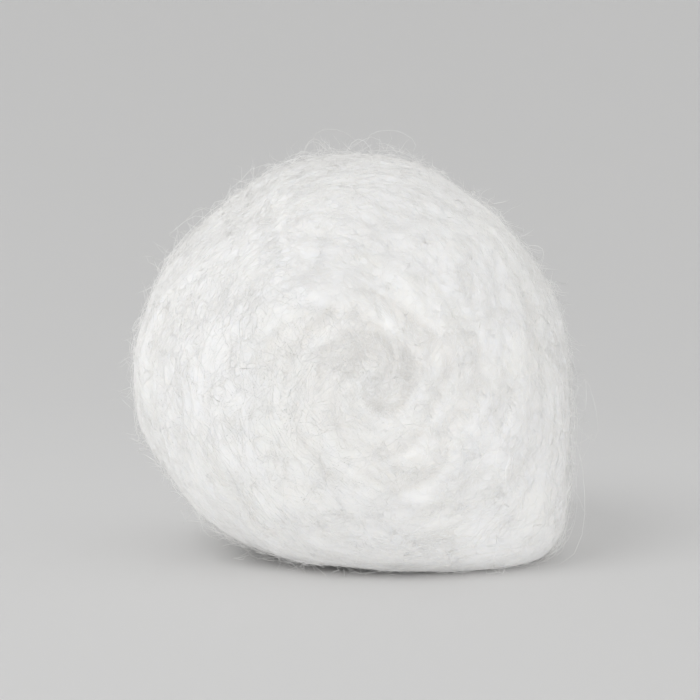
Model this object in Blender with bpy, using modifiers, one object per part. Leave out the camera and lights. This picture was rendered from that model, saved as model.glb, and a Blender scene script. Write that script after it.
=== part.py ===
"""A cotton ball: a short length of carded cotton, rolled up and packed among its neighbours.

Metres, +Z up. The origin is on the bench, under the middle of the ball's box. The coil that the
cotton was rolled into ends at the front, which faces -Y, and at the back.
"""

from math import acos, exp

import bmesh
import bpy
from mathutils import Vector

# Driving dimensions, the ball's outer box.
WIDTH = 0.0300
DEPTH = 0.0285
HEIGHT = 0.0275

# The cage that Subdivision Surface rounds: cuts along each edge of a cube, then the levels.
CAGE_CUTS = 5
SMOOTH_LEVELS = 2

# How far the shape is sunk into the bench before the bench cuts it flat.
BENCH_CUT = 0.0005

# Below, lengths are shares of the ball's radius before it was packed.
# Each swelling: the way it faces, how far it stands out, and how wide it is in radians.
SWELLINGS = (
    ((0.74, 0.00, -0.67), 0.24, 0.45),  # squeezed out between the bench and the right-hand flat
    ((0.45, -0.55, -0.70), 0.14, 0.60),  # and along the bench towards the front
    ((0.45, 0.55, -0.70), 0.14, 0.60),  # and towards the back
    ((-0.30, 0.35, 0.50), 0.03, 0.50),  # a fuller back shoulder
)
# Each flat: the way it faces, its distance from the middle, and the width of its soft edge.
FLATS = (
    ((0.00, 0.00, -1.00), 0.86, 0.12),  # the flat that it stands on
    ((1.00, 0.00, -0.06), 0.98, 0.16),
    ((0.70, 0.22, 0.68), 0.93, 0.28),
    ((-0.60, -0.24, 0.76), 0.96, 0.30),
    ((-1.00, 0.10, 0.25), 0.98, 0.15),
    ((-0.74, 0.05, -0.67), 0.94, 0.16),
    ((0.10, -1.00, 0.10), 0.99, 0.22),  # the coil's front end
    ((-0.20, 1.00, 0.05), 0.98, 0.22),  # the coil's back end
    ((0.60, 0.75, -0.10), 0.97, 0.24),
)

COTTON_WHITE = (0.93, 0.925, 0.91, 1.0)
COTTON_ROUGHNESS = 0.95


def clear_scene():
    for obj in list(bpy.data.objects):
        bpy.data.objects.remove(obj)


def new_collection(name):
    collection = bpy.data.collections.new(name)
    bpy.context.scene.collection.children.link(collection)
    return collection


def cotton_material():
    material = bpy.data.materials.new("cotton")
    material.use_nodes = True
    shader = material.node_tree.nodes["Principled BSDF"]
    shader.inputs["Base Color"].default_value = COTTON_WHITE
    shader.inputs["Roughness"].default_value = COTTON_ROUGHNESS
    shader.inputs["Metallic"].default_value = 0.0
    return material


def soft_min(value, limit, softness):
    """The smaller of value and limit, blended where they are within softness of each other."""
    overlap = max(softness - abs(value - limit), 0.0) / softness
    return min(value, limit) - overlap * overlap * softness / 4


def packed(direction):
    """Where packing moves the point of a unit ball that lies this way from its middle."""
    radius = 1.0
    for facing, height, width in SWELLINGS:
        away = acos(max(-1.0, min(1.0, direction.dot(Vector(facing).normalized()))))
        radius += height * exp(-((away / width) ** 2))
    point = direction * radius
    for facing, distance, softness in FLATS:
        normal = Vector(facing).normalized()
        reach = point.dot(normal)
        point += normal * (soft_min(reach, distance, softness) - reach)
    return point


def ball_cage(name):
    """A cube, cut up and blown out to the packed shape, in radii."""
    cage = bmesh.new()
    bmesh.ops.create_cube(cage, size=2.0)
    bmesh.ops.subdivide_edges(cage, edges=cage.edges[:], cuts=CAGE_CUTS, use_grid_fill=True)
    for vertex in cage.verts:
        vertex.co = packed(vertex.co.normalized())
    mesh = bpy.data.meshes.new(name)
    cage.to_mesh(mesh)
    cage.free()
    return mesh


def evaluated_box(obj):
    """The lowest and highest corner of the object as its modifiers leave it."""
    bpy.context.view_layer.update()
    evaluated = obj.evaluated_get(bpy.context.evaluated_depsgraph_get())
    points = [vertex.co for vertex in evaluated.data.vertices]
    low = Vector([min(point[axis] for point in points) for axis in range(3)])
    high = Vector([max(point[axis] for point in points) for axis in range(3)])
    return low, high


def fit_to_box(obj, low, high):
    """Stretches the cage so that its smoothed surface fills the box from low to high."""
    was_low, was_high = evaluated_box(obj)
    for vertex in obj.data.vertices:
        for axis in range(3):
            share = (vertex.co[axis] - was_low[axis]) / (was_high[axis] - was_low[axis])
            vertex.co[axis] = low[axis] + share * (high[axis] - low[axis])
    obj.data.update()


def bench_cutter(collection):
    """A block with its top at the bench."""
    block = bmesh.new()
    bmesh.ops.create_cube(block, size=2 * WIDTH)
    mesh = bpy.data.meshes.new("bench_cutter")
    block.to_mesh(mesh)
    block.free()
    cutter = bpy.data.objects.new("bench_cutter", mesh)
    cutter.location.z = -WIDTH
    cutter.hide_render = True
    cutter.display_type = "WIRE"
    collection.objects.link(cutter)
    return cutter


def cotton_ball(parts, cutters):
    ball = bpy.data.objects.new("cotton_ball", ball_cage("cotton_ball"))
    parts.objects.link(ball)
    ball.data.materials.append(cotton_material())

    rounding = ball.modifiers.new("rounding", "SUBSURF")
    rounding.levels = SMOOTH_LEVELS
    rounding.render_levels = SMOOTH_LEVELS
    fit_to_box(
        ball,
        Vector((-WIDTH / 2, -DEPTH / 2, -BENCH_CUT)),
        Vector((WIDTH / 2, DEPTH / 2, HEIGHT)),
    )
    ball.data.shade_smooth()

    bench = ball.modifiers.new("bench", "BOOLEAN")
    bench.operation = "DIFFERENCE"
    bench.object = bench_cutter(cutters)
    return ball


def main():
    clear_scene()
    cotton_ball(new_collection("cotton_ball"), new_collection("cutters"))


main()
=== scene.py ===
"""The cotton ball's looks: a soft body of rolled cotton, wrapped in a web of real fibres.

Metres, +Z up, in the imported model's frame. The sliver is rolled about an axis that runs from the
front of the ball to the back, so the fibres lie around that axis and wind into a coil at each end.
A place on the ball is a direction from its middle, and a height above the body.
"""

from collections.abc import Callable
from itertools import product
from math import atan, cos, pi, radians, sin, tan
from typing import NamedTuple

import bmesh
import bpy
import numpy as np
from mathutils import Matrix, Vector
from mathutils.bvhtree import BVHTree

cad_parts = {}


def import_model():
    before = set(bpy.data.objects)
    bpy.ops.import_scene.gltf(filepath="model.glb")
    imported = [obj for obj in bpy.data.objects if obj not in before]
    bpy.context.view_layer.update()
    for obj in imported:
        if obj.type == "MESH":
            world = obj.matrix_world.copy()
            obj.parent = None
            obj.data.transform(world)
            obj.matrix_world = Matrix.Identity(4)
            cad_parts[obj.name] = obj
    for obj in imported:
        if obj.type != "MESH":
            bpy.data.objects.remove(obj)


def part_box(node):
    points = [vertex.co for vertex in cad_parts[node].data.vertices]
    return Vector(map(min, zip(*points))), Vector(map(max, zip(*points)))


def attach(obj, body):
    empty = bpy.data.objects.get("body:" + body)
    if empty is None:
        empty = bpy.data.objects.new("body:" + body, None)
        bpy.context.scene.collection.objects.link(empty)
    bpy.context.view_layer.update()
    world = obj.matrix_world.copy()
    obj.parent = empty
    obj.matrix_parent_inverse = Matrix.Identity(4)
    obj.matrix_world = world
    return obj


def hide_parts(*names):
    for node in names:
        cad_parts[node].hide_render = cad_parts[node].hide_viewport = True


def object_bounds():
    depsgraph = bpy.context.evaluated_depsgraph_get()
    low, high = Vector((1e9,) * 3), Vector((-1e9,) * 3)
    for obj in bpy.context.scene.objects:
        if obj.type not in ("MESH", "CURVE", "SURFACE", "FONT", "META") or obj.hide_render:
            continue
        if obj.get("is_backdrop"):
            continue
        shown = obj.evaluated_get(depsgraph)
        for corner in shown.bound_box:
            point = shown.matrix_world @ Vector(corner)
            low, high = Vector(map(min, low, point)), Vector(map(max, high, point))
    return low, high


MM = 0.001
SEED = 20  # each noise below adds its own number to it

# The name of the UV map laid on each piece.
BAKE_MAP = "OFBake"

# The roll's axis leans a little, so neither coil ends quite in the middle of its face.
ROLL_AXIS = (-0.09, 1.0, 0.05)

# The way the fibres lie.
WRAP_PITCH = radians(9)  # how steeply they climb around the sides
COIL_PITCH = radians(38)  # how steeply they run in at the ends
COIL_REACH = radians(38)  # how far from its end a coil is felt
WANDER = radians(22)  # how far they stray from all that
FIBRE_FLOOR = 0.02 * MM  # no fibre goes lower

# How much fibres of one kind differ, and how much those of one bundle do.
LENGTH_SPREAD, THICKNESS_SPREAD = 0.3, 0.25
OWN_TURN, OWN_PHASE = 0.15, 0.5  # in radians

# The body. Its grid is the quads along each side of each cube face that is blown out to it.
BODY_GRID = 116
BODY_SMOOTHING = 6
BODY_INSET = 0.25 * MM  # what the fibres on it take up
PAINTED_FOLD_SHADE = "painted_fold_shade"  # the attribute that says how deep in a fold a point is, which sets how much painted shade it gets
DEEP_FOLD = 0.40 * MM  # a fold this deep gets the full painted shade

# Its relief. Each lump: its height, how many to the radius, and which part of the noise it takes.
LUMPS = ((0.30 * MM, 2.6, 0), (0.10 * MM, 6.0, 3))
# Each sort of ridge along the fibres: its height, its width, and its length each way.
RIDGES = ((0.065 * MM, 1.3 * MM, 5 * MM), (0.045 * MM, 0.55 * MM, 3 * MM))

# The coil at each end: a groove that winds in to a dimple, with a tuft in the middle of that.
GROOVE_STEP = radians(9)  # from one turn of the groove to the next
GROOVE_REACH = radians(30)  # how far out from the end it is felt
GROOVE_STOP = (radians(3), radians(8))  # on its way in it fades out between these
GROOVE_DEPTH = 0.30 * MM
GENTLE_SIDE, STEEP_SIDE = 0.30, 0.14  # its inner and outer side, as shares of a step
DIMPLE_DEPTH, DIMPLE_WIDTH = 0.20 * MM, radians(16)
TUFT_HEIGHT, TUFT_WIDTH = 0.22 * MM, radians(4)

# The roll's outer end.
SEAM_TURN = 0.66  # where around the axis it lies, in turns
SEAM_HEIGHT = 0.30 * MM
SEAM_SOFTNESS = 0.018  # in turns
SEAM_STOP = (radians(25), radians(60))  # on its way to a coil it fades out between these

# Colours, as linear RGB, dim and bright.
FIBRE_COLOURS = ((0.940, 0.930, 0.912), (0.990, 0.988, 0.982))
WAD_COLOURS = ((0.925, 0.914, 0.895), (0.965, 0.958, 0.944))
# painted shade, slightly warm, that the body's colour goes towards the deeper a point lies in a fold
FOLD_SHADE_COLOUR = (0.87, 0.857, 0.835)
PAPER_COLOUR = (0.72, 0.72, 0.72)
SKY_COLOUR = (1.0, 0.998, 0.992)

# The picture: the lens in mm, how high the camera looks from, and the ball's share of its width.
LENS = 85
CAMERA_ELEVATION = radians(4)
BALL_SHARE = 0.62


# ---------------------------------------------------------------- noise and directions


def unit(vectors):
    return vectors / np.maximum(np.linalg.norm(vectors, axis=-1, keepdims=True), 1e-12)


def smooth_step(low, high, values):
    share = np.clip((values - low) / (high - low), 0, 1)
    return share * share * (3 - 2 * share)


class Noise:
    """Smooth noise from -1 to 1: seeded random values on a cubic lattice, blended in between."""

    SIZE = 32

    def __init__(self, seed):
        self.values = np.random.default_rng(seed).uniform(-1, 1, (self.SIZE,) * 3)

    def __call__(self, points):
        cell = np.floor(points).astype(int)
        part = points - cell
        part = part * part * (3 - 2 * part)
        total = np.zeros(points.shape[:-1])
        for corner in product((0, 1), repeat=3):
            weight = np.prod(np.where(corner, part, 1 - part), axis=-1)
            x, y, z = np.moveaxis((cell + corner) % self.SIZE, -1, 0)
            total += weight * self.values[x, y, z]
        return total


class Roll:
    """Which way the fibres lie, for directions from the middle of the ball."""

    def __init__(self, middle, radius):
        self.middle = middle
        self.radius = radius
        self.axis = unit(np.array(ROLL_AXIS))
        self.wander = Noise(SEED + 1)

    def polar(self, directions):
        """The angle from the nearer end of the axis, and which end: -1 in front, 1 behind."""
        along = directions @ self.axis
        return np.arccos(np.clip(np.abs(along), 0, 1)), np.where(along < 0, -1.0, 1.0)

    def turn(self, directions):
        """How far around the axis, in turns from +X, the way the fibres run."""
        across = unit(np.cross(self.axis, (0.0, 0.0, 1.0)))
        onward = np.cross(self.axis, across)
        return np.arctan2(directions @ onward, directions @ across) / (2 * pi) % 1.0

    def flow(self, directions, turn=0.0):
        """The way the fibres run, turned by an angle towards the nearer end."""
        angle, end = self.polar(directions)
        around = unit(np.cross(self.axis, directions))
        inward = unit(end[..., None] * self.axis - directions * np.cos(angle)[..., None])
        pitch = WRAP_PITCH + (COIL_PITCH - WRAP_PITCH) * np.exp(-((angle / COIL_REACH) ** 2))
        pitch = pitch + WANDER * self.wander(directions * 2.3 + 7) * smooth_step(0, 0.6, angle)
        pitch = (pitch + turn)[..., None]
        return around * np.cos(pitch) + inward * np.sin(pitch)

    def step(self, directions, length, turn=0.0):
        return unit(directions + self.flow(directions, turn) * (length / self.radius))

    def combed(self, noise, directions, grain, reach, steps=7):
        """Noise of that grain, drawn out along the fibres for reach each way."""
        total = noise(directions * (self.radius / grain))
        for way in (-1, 1):
            place = directions
            for _ in range(steps):
                place = self.step(place, way * reach / steps)
                total = total + noise(place * (self.radius / grain))
        return total / np.sqrt(2 * steps + 1)


# ---------------------------------------------------------------- the body


def cube_sphere(cuts):
    """Directions spread over a ball, the quads between them, and a UV map, from a blown-out cube."""
    cage = bmesh.new()
    bmesh.ops.create_cube(cage, size=2.0)
    bmesh.ops.subdivide_edges(cage, edges=cage.edges[:], cuts=cuts - 1, use_grid_fill=True)
    cage.verts.ensure_lookup_table()
    corners = np.array([v.co for v in cage.verts])
    quads = np.array([[v.index for v in f.verts] for f in cage.faces])
    cage.free()
    return unit(np.tan(corners * (pi / 4))), quads, cube_map(corners[quads])


def cube_map(quads):
    """The places in a UV map of the corners of quads on a cube: each side just fits in a cell."""
    middles = quads.mean(axis=1)
    facing = np.abs(middles).argmax(axis=1)
    positive = middles[np.arange(len(quads)), facing] > 0
    own_axes = np.array([(1, 2), (2, 0), (0, 1)])[facing]
    within = np.take_along_axis(quads, np.repeat(own_axes[:, None, :], 4, axis=1), axis=2)
    cell = np.stack([facing, positive], axis=1)[:, None, :]
    return (cell + 0.5 + within * 0.48) / (3, 2)


def add_bake_map(mesh, places):
    layer = mesh.uv_layers.new(name=BAKE_MAP)
    layer.uv.foreach_set("vector", places.astype(np.float32).ravel())


def surface_of(obj):
    return BVHTree.FromObject(obj, bpy.context.evaluated_depsgraph_get())


def radii_to(tree, middle, directions):
    """How far the surface is from the middle, each way."""
    start = Vector(middle)
    flat = directions.reshape(-1, 3)
    found = np.array([tree.ray_cast(start, Vector(way))[3] for way in flat], float)
    return found.reshape(directions.shape[:-1])


def smoothed(values, quads, rounds):
    """Each point's value is drawn towards its neighbours' mean, that many times."""
    ends = np.concatenate([quads[:, [0, 1]], quads[:, [1, 2]], quads[:, [2, 3]], quads[:, [3, 0]]])
    count = np.bincount(ends[:, 0], minlength=len(values))
    for _ in range(rounds):
        total = np.bincount(ends[:, 0], weights=values[ends[:, 1]], minlength=len(values))
        values = 0.5 * values + 0.5 * total / count
    return values


def coil_relief(roll, directions):
    """Soft grooves between the roll's turns at each end, around a dimple with a tuft in it."""
    angle, _ = roll.polar(directions)
    warp = Noise(SEED + 2)
    wobble = 0.30 * warp(directions * 5) + 0.15 * warp(directions * 13 + 5)
    phase = angle / GROOVE_STEP + roll.turn(directions) + wobble
    beside = (phase + 0.5) % 1.0 - 0.5
    groove = np.exp(-((beside / np.where(beside < 0, GENTLE_SIDE, STEEP_SIDE)) ** 2))
    patchy = 0.65 + 0.5 * warp(directions * 4 + 11)
    fade = np.exp(-((angle / GROOVE_REACH) ** 2)) * smooth_step(*GROOVE_STOP, angle)
    dimple = np.exp(-((angle / DIMPLE_WIDTH) ** 2))
    tuft = np.exp(-((angle / TUFT_WIDTH) ** 2))
    return TUFT_HEIGHT * tuft - GROOVE_DEPTH * groove * fade * patchy - DIMPLE_DEPTH * dimple


def seam_relief(roll, directions):
    """The roll's last turn thins out along its way, and its outer end makes a soft step."""
    angle, _ = roll.polar(directions)
    wander = 0.02 * Noise(SEED + 6)(directions * 4)
    share = (roll.turn(directions) - SEAM_TURN + wander) % 1.0
    layer = (1 - share) * smooth_step(0, SEAM_SOFTNESS, share)
    return SEAM_HEIGHT * (layer - 0.5) * smooth_step(*SEAM_STOP, angle)


def body_relief(roll, directions):
    """How far the body's surface stands out: its broad lumps, and its finer folds."""
    lumps = Noise(SEED + 3)
    broad = sum(height * lumps(directions * count + part) for height, count, part in LUMPS)
    folds = coil_relief(roll, directions)
    for seed, (height, width, reach) in enumerate(RIDGES, start=SEED + 4):
        folds += height * roll.combed(Noise(seed), directions, width, reach)
    return broad + seam_relief(roll, directions), folds


def cotton_body(roll, tree):
    directions, quads, places = cube_sphere(BODY_GRID)
    plain = smoothed(radii_to(tree, roll.middle, directions), quads, BODY_SMOOTHING)
    broad, folds = body_relief(roll, directions)
    points = roll.middle + directions * (plain - BODY_INSET + broad + folds)[:, None]
    points[:, 2] = np.maximum(points[:, 2], 0.0)
    mesh = bpy.data.meshes.new("cotton_body")
    mesh.from_pydata(points.tolist(), [], quads.tolist())
    add_bake_map(mesh, places)
    # Painted shade: each point's depth in a fold, by which the colour is darkened there
    painted_fold_shade = mesh.attributes.new(PAINTED_FOLD_SHADE, "FLOAT", "POINT")
    painted_fold_shade.data.foreach_set("value", np.clip(-folds / DEEP_FOLD, 0, 1).astype(np.float32))
    mesh.shade_smooth()
    body = bpy.data.objects.new("cotton_body", mesh)
    bpy.context.scene.collection.objects.link(body)
    return body


# ---------------------------------------------------------------- the fibres


def all_over(roll, rng, count):
    """Directions spread evenly over the ball."""
    return unit(rng.normal(size=(count, 3)))


def near_the_ends(roll, rng, count):
    """Directions gathered around the two ends of the roll."""
    ends = roll.axis * rng.choice([-1.0, 1.0], (count, 1))
    return unit(ends + rng.normal(0, 0.16, (count, 3)))


class Kind(NamedTuple):
    """One sort of fibre. They lie in bundles of alike ones, and each is an odd number of knots."""

    name: str
    start: Callable  # where the bundles are
    heights: Callable  # how the fibres rise from the body
    bundles: int
    per_bundle: int
    knots: int
    length: float
    thickness: float
    width: float  # of a bundle
    stray: float  # how far a bundle turns from the flow
    curl: float


def fibre_lines(roll, tree, rng, kind):
    """The kind's fibres as lines of points, and the directions to them from the middle."""
    count = kind.bundles * kind.per_bundle

    def alike(values):
        return np.repeat(values, kind.per_bundle, axis=0)

    spread = rng.normal(0, kind.width / 2 / roll.radius, (count, 3))
    place = unit(alike(kind.start(roll, rng, kind.bundles)) + spread)
    turn = alike(rng.normal(0, kind.stray, kind.bundles)) + rng.normal(0, OWN_TURN, count)
    bend = alike(rng.normal(0, kind.curl, (kind.bundles, 3)))
    bend = bend + rng.normal(0, kind.curl / 2, (count, 3))
    phase = alike(rng.uniform(0, 2 * pi, (kind.bundles, 3)))
    phase = phase + rng.normal(0, OWN_PHASE, (count, 3))
    half = kind.knots // 2
    hop = kind.length * rng.lognormal(0, LENGTH_SPREAD, count)[:, None] / (kind.knots - 1)

    def traced(way):
        """The places from the fibres' middles to one of their ends."""
        here = place
        for knot in range(1, half + 1):
            along = way * knot / half * pi / 2
            waves = [bend[:, w] * np.sin((w + 1) * along + phase[:, w]) for w in range(3)]
            here = roll.step(here, way * hop, turn + sum(waves))
            yield here

    places = np.stack([*reversed(list(traced(-1))), place, *traced(1)], axis=1)
    heights = kind.heights(rng, count, np.linspace(0, 1, kind.knots))
    radii = radii_to(tree, roll.middle, places) + heights
    return roll.middle + places * radii[..., None], places


def fibre_faces(knots):
    """The faces of one closed three-sided fibre, and their corners' places in its UV cell."""
    last = 3 * (knots - 2) + 1
    faces, places = [], []
    for side in range(3):
        following = (side + 1) % 3
        low, high = side / 3, (side + 1) / 3
        step = 1 / (knots - 1)
        faces.append((0, 1 + following, 1 + side))
        places += [(0, (low + high) / 2), (step, high), (step, low)]
        for ring in range(knots - 3):
            base = 1 + 3 * ring
            faces.append((base + side, base + following, base + 3 + following, base + 3 + side))
            near, far = (ring + 1) * step, (ring + 2) * step
            places += [(near, low), (near, high), (far, high), (far, low)]
        base = last - 3
        faces.append((base + side, base + following, last))
        places += [(1 - step, low), (1 - step, high), (1, (low + high) / 2)]
    return faces, np.array(places)


def fibre_piece(roll, tree, rng, kind):
    """All fibres of a kind, as closed three-sided tubes that taper to a point at both ends."""
    lines, outward = fibre_lines(roll, tree, rng, kind)
    count = len(lines)
    thickness = kind.thickness * rng.lognormal(0, THICKNESS_SPREAD, count)
    along = unit(np.gradient(lines, axis=1))
    side = unit(np.cross(along, outward))
    up = np.cross(side, along)
    share = np.linspace(0, 1, kind.knots)
    taper = np.minimum(1, 3.5 * np.minimum(share, 1 - share)) ** 0.5  # full in the middle 3/7
    girth = (thickness[:, None] / 2 * taper)[..., None]
    around = [2 * pi * corner / 3 + pi / 2 for corner in range(3)]
    rings = np.stack([lines + girth * (side * cos(a) + up * sin(a)) for a in around], axis=2)
    rings = rings[:, 1:-1].reshape(count, -1, 3)
    points = np.concatenate([lines[:, :1], rings, lines[:, -1:]], axis=1)
    points[..., 2] = np.maximum(points[..., 2], FIBRE_FLOOR)

    faces, places = fibre_faces(kind.knots)
    size = points.shape[1]
    mesh = bpy.data.meshes.new(kind.name)
    mesh.from_pydata(
        points.reshape(-1, 3).tolist(),
        [],
        [[fibre * size + corner for corner in face] for fibre in range(count) for face in faces],
    )
    columns = int(np.ceil(np.sqrt(count)))
    cells = np.stack(np.divmod(np.arange(count), columns), axis=1)[:, None, :]
    add_bake_map(mesh, (cells + 0.1 + 0.8 * places) / columns)
    mesh.shade_smooth()
    piece = bpy.data.objects.new(kind.name, mesh)
    bpy.context.scene.collection.objects.link(piece)
    return piece


def lying(rng, count, share):
    """Heights of fibres that lie on the body, dipping in and out of it."""
    base = rng.normal(0.008 * MM, 0.014 * MM, (count, 1))
    start = rng.uniform(0, 2 * pi, (count, 1))
    wave = np.sin(share * rng.uniform(3, 9, (count, 1)) + start)
    return base + rng.normal(0, 0.012 * MM, (count, 1)) * wave


def loose(rng, count, share):
    """Heights of fibres that arch off the body and come back to it."""
    arch = rng.exponential(0.20 * MM, (count, 1))
    return arch * np.sin(pi * share) + rng.normal(0, 0.01 * MM, (count, 1))


def arching(rng, count, share):
    """Heights of long fibres that lift well off the body between their ends."""
    arch = np.minimum(rng.exponential(0.7 * MM, (count, 1)), 2.2 * MM)
    return arch * np.sin(pi * share ** rng.uniform(0.6, 1.6, (count, 1)))


def straying(rng, count, share):
    """Heights of fibres with one end free."""
    lift = np.minimum(rng.exponential(0.45 * MM, (count, 1)) + 0.1 * MM, 2.0 * MM)
    return lift * share ** rng.uniform(1.2, 2.5, (count, 1)) - 0.05 * MM


KINDS = [
    Kind(
        "wrapped_fibres", all_over, lying, bundles=940, per_bundle=5, knots=9,
        length=7 * MM, thickness=0.026 * MM, width=0.6 * MM, stray=0.30, curl=0.30,
    ),
    Kind(
        "crossing_fibres", all_over, lying, bundles=2350, per_bundle=2, knots=9,
        length=5 * MM, thickness=0.022 * MM, width=0.5 * MM, stray=0.80, curl=0.50,
    ),
    Kind(
        "loose_fibres", all_over, loose, bundles=2200, per_bundle=3, knots=7,
        length=3.5 * MM, thickness=0.020 * MM, width=0.5 * MM, stray=0.80, curl=0.80,
    ),
    Kind(
        "fuzz", all_over, straying, bundles=3300, per_bundle=2, knots=7,
        length=2.2 * MM, thickness=0.019 * MM, width=0.5 * MM, stray=1.40, curl=1.10,
    ),
    Kind(
        "wisps", all_over, arching, bundles=60, per_bundle=3, knots=13,
        length=11 * MM, thickness=0.018 * MM, width=0.6 * MM, stray=0.90, curl=0.90,
    ),
    Kind(
        "coil_fibres", near_the_ends, loose, bundles=120, per_bundle=2, knots=9,
        length=2.5 * MM, thickness=0.020 * MM, width=0.3 * MM, stray=0.90, curl=0.90,
    ),
]


# ---------------------------------------------------------------- materials


def cotton_material(name):
    """Dull white cotton, coloured by a ramp from dim to bright, whose Fac the caller links."""
    material = bpy.data.materials.new(name)
    material.use_nodes = True
    nodes, links = material.node_tree.nodes, material.node_tree.links
    shader = nodes["Principled BSDF"]
    shader.inputs["Roughness"].default_value = 0.95
    shader.inputs["Specular IOR Level"].default_value = 0.2
    shader.inputs["Sheen Weight"].default_value = 0.15
    shader.inputs["Sheen Roughness"].default_value = 0.6
    ramp = nodes.new("ShaderNodeValToRGB")
    links.new(ramp.outputs["Color"], shader.inputs["Base Color"])
    return material, nodes, links, ramp


def set_ramp(ramp, positions, colours):
    for element, position, colour in zip(ramp.color_ramp.elements, positions, colours):
        element.position = position
        element.color = (*colour, 1)


def fibre_material():
    """Each fibre is a little brighter or dimmer than the next."""
    material, nodes, links, ramp = cotton_material("cotton_fibre")
    geometry = nodes.new("ShaderNodeNewGeometry")
    links.new(geometry.outputs["Random Per Island"], ramp.inputs["Fac"])
    set_ramp(ramp, (0.0, 0.6), FIBRE_COLOURS)
    return material


def noise_texture(nodes, links, scale, detail, distortion=0.0):
    """Noise through the solid, at that many grains to the metre."""
    place = nodes.get("Texture Coordinate") or nodes.new("ShaderNodeTexCoord")
    noise = nodes.new("ShaderNodeTexNoise")
    noise.inputs["Scale"].default_value = scale
    noise.inputs["Detail"].default_value = detail
    noise.inputs["Distortion"].default_value = distortion
    links.new(place.outputs["Object"], noise.inputs["Vector"])
    return noise


def wad_material():
    """The body's cotton: light passes through it, its folds are darkened with painted shade, and
    fine strands cross it.
    """
    material, nodes, links, ramp = cotton_material("cotton_wad")
    shader = nodes["Principled BSDF"]
    shader.inputs["Subsurface Weight"].default_value = 1.0
    shader.inputs["Subsurface Radius"].default_value = (1.0, 0.97, 0.92)
    shader.inputs["Subsurface Scale"].default_value = 0.6 * MM
    set_ramp(ramp, (0.3, 0.7), WAD_COLOURS)
    patches = noise_texture(nodes, links, scale=260.0, detail=4.0)
    links.new(patches.outputs["Fac"], ramp.inputs["Fac"])

    # Painted shade: the colour goes towards the fold shade colour the deeper a point lies in a fold
    painted_fold_shade = nodes.new("ShaderNodeAttribute")
    painted_fold_shade.attribute_name = PAINTED_FOLD_SHADE
    dim = nodes.new("ShaderNodeMix")
    dim.data_type = "RGBA"
    links.new(painted_fold_shade.outputs["Fac"], dim.inputs["Factor"])
    links.new(ramp.outputs["Color"], dim.inputs["A"])
    dim.inputs["B"].default_value = (*FOLD_SHADE_COLOUR, 1)
    links.new(dim.outputs["Result"], shader.inputs["Base Color"])

    strands = noise_texture(nodes, links, scale=2600.0, detail=5.0, distortion=1.5)
    bump = nodes.new("ShaderNodeBump")
    bump.inputs["Strength"].default_value = 0.5
    bump.inputs["Distance"].default_value = 0.06 * MM
    links.new(strands.outputs["Fac"], bump.inputs["Height"])
    links.new(bump.outputs["Normal"], shader.inputs["Normal"])
    return material


# ---------------------------------------------------------------- the studio


def plain_material(name, colour):
    material = bpy.data.materials.new(name)
    material.use_nodes = True
    shader = material.node_tree.nodes["Principled BSDF"]
    shader.inputs["Base Color"].default_value = (*colour, 1)
    shader.inputs["Roughness"].default_value = 0.9
    shader.inputs["Specular IOR Level"].default_value = 0.1
    return material


def studio_bowl():
    """A pale floor that curves gently up all round, so there is no horizon from any side."""
    flat, bend = 0.10, 0.55  # the flat's radius, and the bend's
    steepest = radians(75)
    rings, sides = 24, 72
    points = [(0.0, 0.0, 0.0)]
    for ring in range(rings):
        lean = steepest * ring / (rings - 1)
        radius, height = flat + bend * sin(lean), bend * (1 - cos(lean))
        for side in range(sides):
            around = 2 * pi * side / sides
            points.append((radius * cos(around), radius * sin(around), height))
    faces = []
    for side in range(sides):
        following = (side + 1) % sides
        faces.append((0, 1 + side, 1 + following))
        for ring in range(rings - 1):
            low = 1 + ring * sides
            faces.append((low + side, low + sides + side, low + sides + following, low + following))
    mesh = bpy.data.meshes.new("studio_bowl")
    mesh.from_pydata(points, [], faces)
    mesh.shade_smooth()
    mesh.materials.append(plain_material("studio_paper", PAPER_COLOUR))
    bowl = bpy.data.objects.new("studio_bowl", mesh)
    bowl.location.z = -0.02 * MM
    bpy.context.scene.collection.objects.link(bowl)
    bowl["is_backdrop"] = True


def area_light(name, target, azimuth, elevation, distance, size, power, lit=None):
    """A round soft light. Azimuth 0 is in front, and 90 degrees is on the right.

    If lit is given, only the pieces in it are lit, and only they cast shadows.
    """
    data = bpy.data.lights.new(name, "AREA")
    data.shape = "DISK"
    data.size = size
    data.energy = power
    lamp = bpy.data.objects.new(name, data)
    lamp.light_linking.receiver_collection = lit
    lamp.light_linking.blocker_collection = lit
    azimuth, elevation = radians(azimuth), radians(elevation)
    away = Vector((sin(azimuth) * cos(elevation), -cos(azimuth) * cos(elevation), sin(elevation)))
    lamp.location = target + away * distance
    lamp.rotation_euler = away.to_track_quat("Z", "Y").to_euler()
    lamp.visible_camera = False
    bpy.context.scene.collection.objects.link(lamp)


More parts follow.
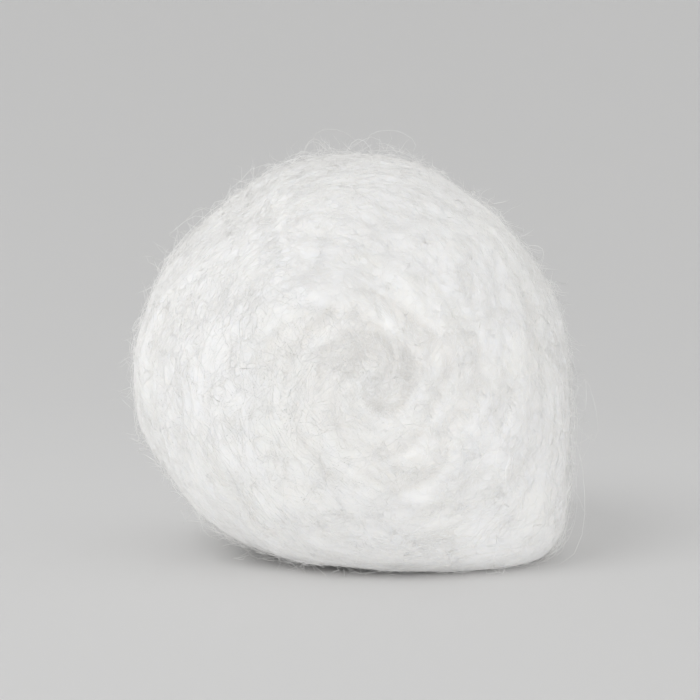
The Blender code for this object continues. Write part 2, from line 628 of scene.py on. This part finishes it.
def camera(target, width):
    """Looks at the target from the front, with the ball filling its share of the picture."""
    data = bpy.data.cameras.new("camera")
    data.lens = LENS
    data.clip_start = 0.005
    data.clip_end = 10
    half_angle = atan(data.sensor_width / 2 / data.lens)
    distance = width / BALL_SHARE / 2 / tan(half_angle)
    away = Vector((0, -cos(CAMERA_ELEVATION), sin(CAMERA_ELEVATION)))
    eye = bpy.data.objects.new("camera", data)
    eye.location = target + away * distance
    eye.rotation_euler = away.to_track_quat("Z", "Y").to_euler()
    bpy.context.scene.collection.objects.link(eye)
    bpy.context.scene.camera = eye


def world(colour, strength):
    made = bpy.data.worlds.new("studio")
    made.use_nodes = True
    background = made.node_tree.nodes["Background"]
    background.inputs["Color"].default_value = (*colour, 1)
    background.inputs["Strength"].default_value = strength
    bpy.context.scene.world = made


def lights(target, pieces):
    """A key for everything, and fills for the ball alone, so that the floor stays even.

    The left fill shines up through the floor, for the light that white neighbours would give back.
    """
    ball = bpy.data.collections.new("ball")
    for piece in pieces:
        ball.objects.link(piece)
    area_light("key", target, azimuth=-43, elevation=45, distance=0.45, size=0.26, power=0.47)
    fills = (("left_fill", -26, -14, 0.77), ("right_fill", 76, 0, 0.59), ("back_fill", 180, 5, 0.95))
    for name, azimuth, elevation, power in fills:
        area_light(name, target, azimuth, elevation, distance=0.50, size=0.30, power=power, lit=ball)


def corners(box):
    return [list(corner) for corner in box]


def main():
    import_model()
    cad_box = corners(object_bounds())
    low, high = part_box("cotton_ball")
    middle = (low + high) / 2
    roll = Roll(np.array(middle), (high.x - low.x) / 2)

    body = cotton_body(roll, surface_of(bpy.data.objects["cotton_ball"]))
    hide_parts("cotton_ball")
    body.data.materials.append(wad_material())
    body_surface = surface_of(body)

    fibre_finish = fibre_material()
    rng = np.random.default_rng(SEED)
    pieces = [body]
    for kind in KINDS:
        piece = fibre_piece(roll, body_surface, rng, kind)
        piece.data.materials.append(fibre_finish)
        piece.visible_diffuse = False  # so that light isn't lost among them
        pieces.append(piece)
    for piece in pieces:
        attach(piece, "root")

    studio_bowl()
    lights(middle, pieces)
    world(SKY_COLOUR, strength=0.74)
    camera(middle, high.x - low.x)
    bpy.context.scene.view_settings.view_transform = "Standard"

    {"cad": cad_box, "visual": corners(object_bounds())}


main()
